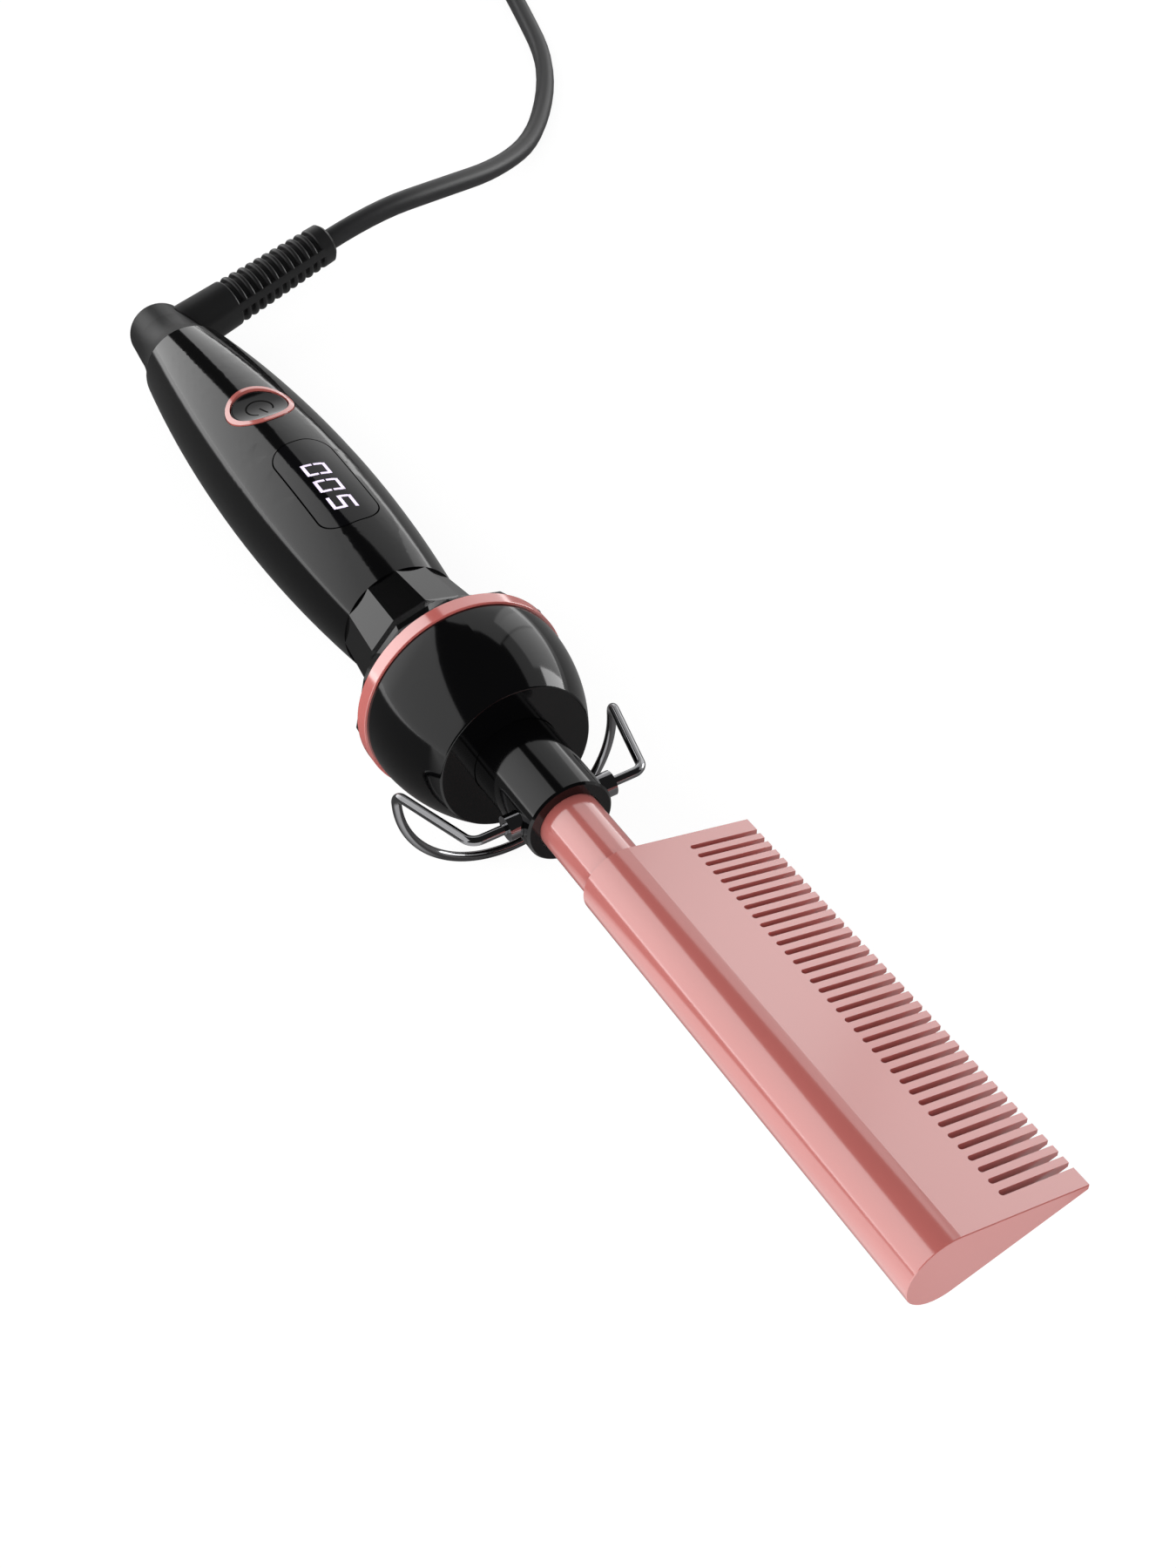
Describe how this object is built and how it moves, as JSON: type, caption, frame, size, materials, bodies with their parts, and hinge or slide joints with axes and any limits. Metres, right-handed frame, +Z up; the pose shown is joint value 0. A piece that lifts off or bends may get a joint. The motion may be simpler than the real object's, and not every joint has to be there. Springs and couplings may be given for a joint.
{
  "type": "hot straightening comb",
  "caption": "Electric hot straightening comb with a heated toothed head, heat guard, display handle, wire rest and swivel cord.",
  "frame": {"origin": "on the table, under the centre of the tool's box without its cord, with the tool resting on its wire stand and on the rear of its handle", "axes": "+X from the cord end to the comb's free end, +Y to the side that the comb's teeth point to, +Z up"},
  "size_m": [0.5223, 0.2043, 0.0469],
  "materials": {
    "comb_rose": "satin rose-pink coated aluminium",
    "trim_rose": "satin rose-gold aluminium trim",
    "gloss_black": "glossy black moulded plastic",
    "matte_black": "matte black moulded plastic",
    "bezel_rose": "rose-gold plated plastic ring",
    "smoked_window": "smoked clear plastic, dark when off",
    "display": "display module behind the window, digits glow white",
    "steel_wire": "dark nickel-plated steel wire",
    "steel": "plain steel",
    "ceramic": "white ceramic",
    "brass": "plain brass",
    "board": "green glass-fibre circuit board",
    "board_parts": "black component bodies",
    "capacitor": "red dipped film capacitor",
    "wire_sleeve": "heat-proof wire sleeve",
    "cord_black": "matte black cord jacket",
    "tie_black": "black hook-and-loop tie"
  },
  "bodies": {
    "comb": {"comb_head": "comb_rose", "heater_rod": "ceramic", "temperature_probe": "steel", "heat_collar": "gloss_black", "ceramic_bush": "ceramic", "heat_guard": "gloss_black", "retaining_plate": "steel", "plate_screws": "steel", "trim_ring": "trim_rose", "faceted_cuff": "gloss_black", "handle_upper": "gloss_black", "handle_lower": "gloss_black", "cover_screws": "steel", "button_bezel": "bezel_rose", "display_window": "smoked_window", "display_module": "display", "circuit_board": "board", "board_screws": "steel", "button_switch": "board_parts", "film_capacitor": "capacitor", "heater_triac": "board_parts", "board_fuse": "ceramic", "heater_leads": "wire_sleeve", "mains_leads": "wire_sleeve", "swivel_carrier": "matte_black", "stand_studs": "steel_wire"},
    "stand": {"stand_wire": "steel_wire"},
    "button": {"power_button": "gloss_black"},
    "swivel": {"swivel_tail": "matte_black", "swivel_spindle": "brass", "spindle_clip": "steel", "strain_relief": "matte_black", "cord_lead": "cord_black", "cord_coil": "cord_black", "cord_tail": "cord_black", "cord_tie": "tie_black", "plug_body": "matte_black", "plug_blades": "brass"}
  },
  "joints": [
    {"name": "stand_pivot", "type": "hinge", "parent": "comb", "child": "stand", "pos_m": [0.04027, -0.00125, 0.02931], "axis": [0, 1, 0], "range_deg": [-100, 0]},
    {"name": "power_press", "type": "slide", "parent": "comb", "child": "button", "axis": [0.1078, 0, -0.9942], "range_m": [0, 0.0004], "stiffness_N_per_m": 500},
    {"name": "cord_swivel", "type": "hinge", "parent": "comb", "child": "swivel", "pos_m": [-0.12534, -0.00125, 0.01066], "axis": [0.9942, 0, 0.1078], "continuous": true}
  ]
}
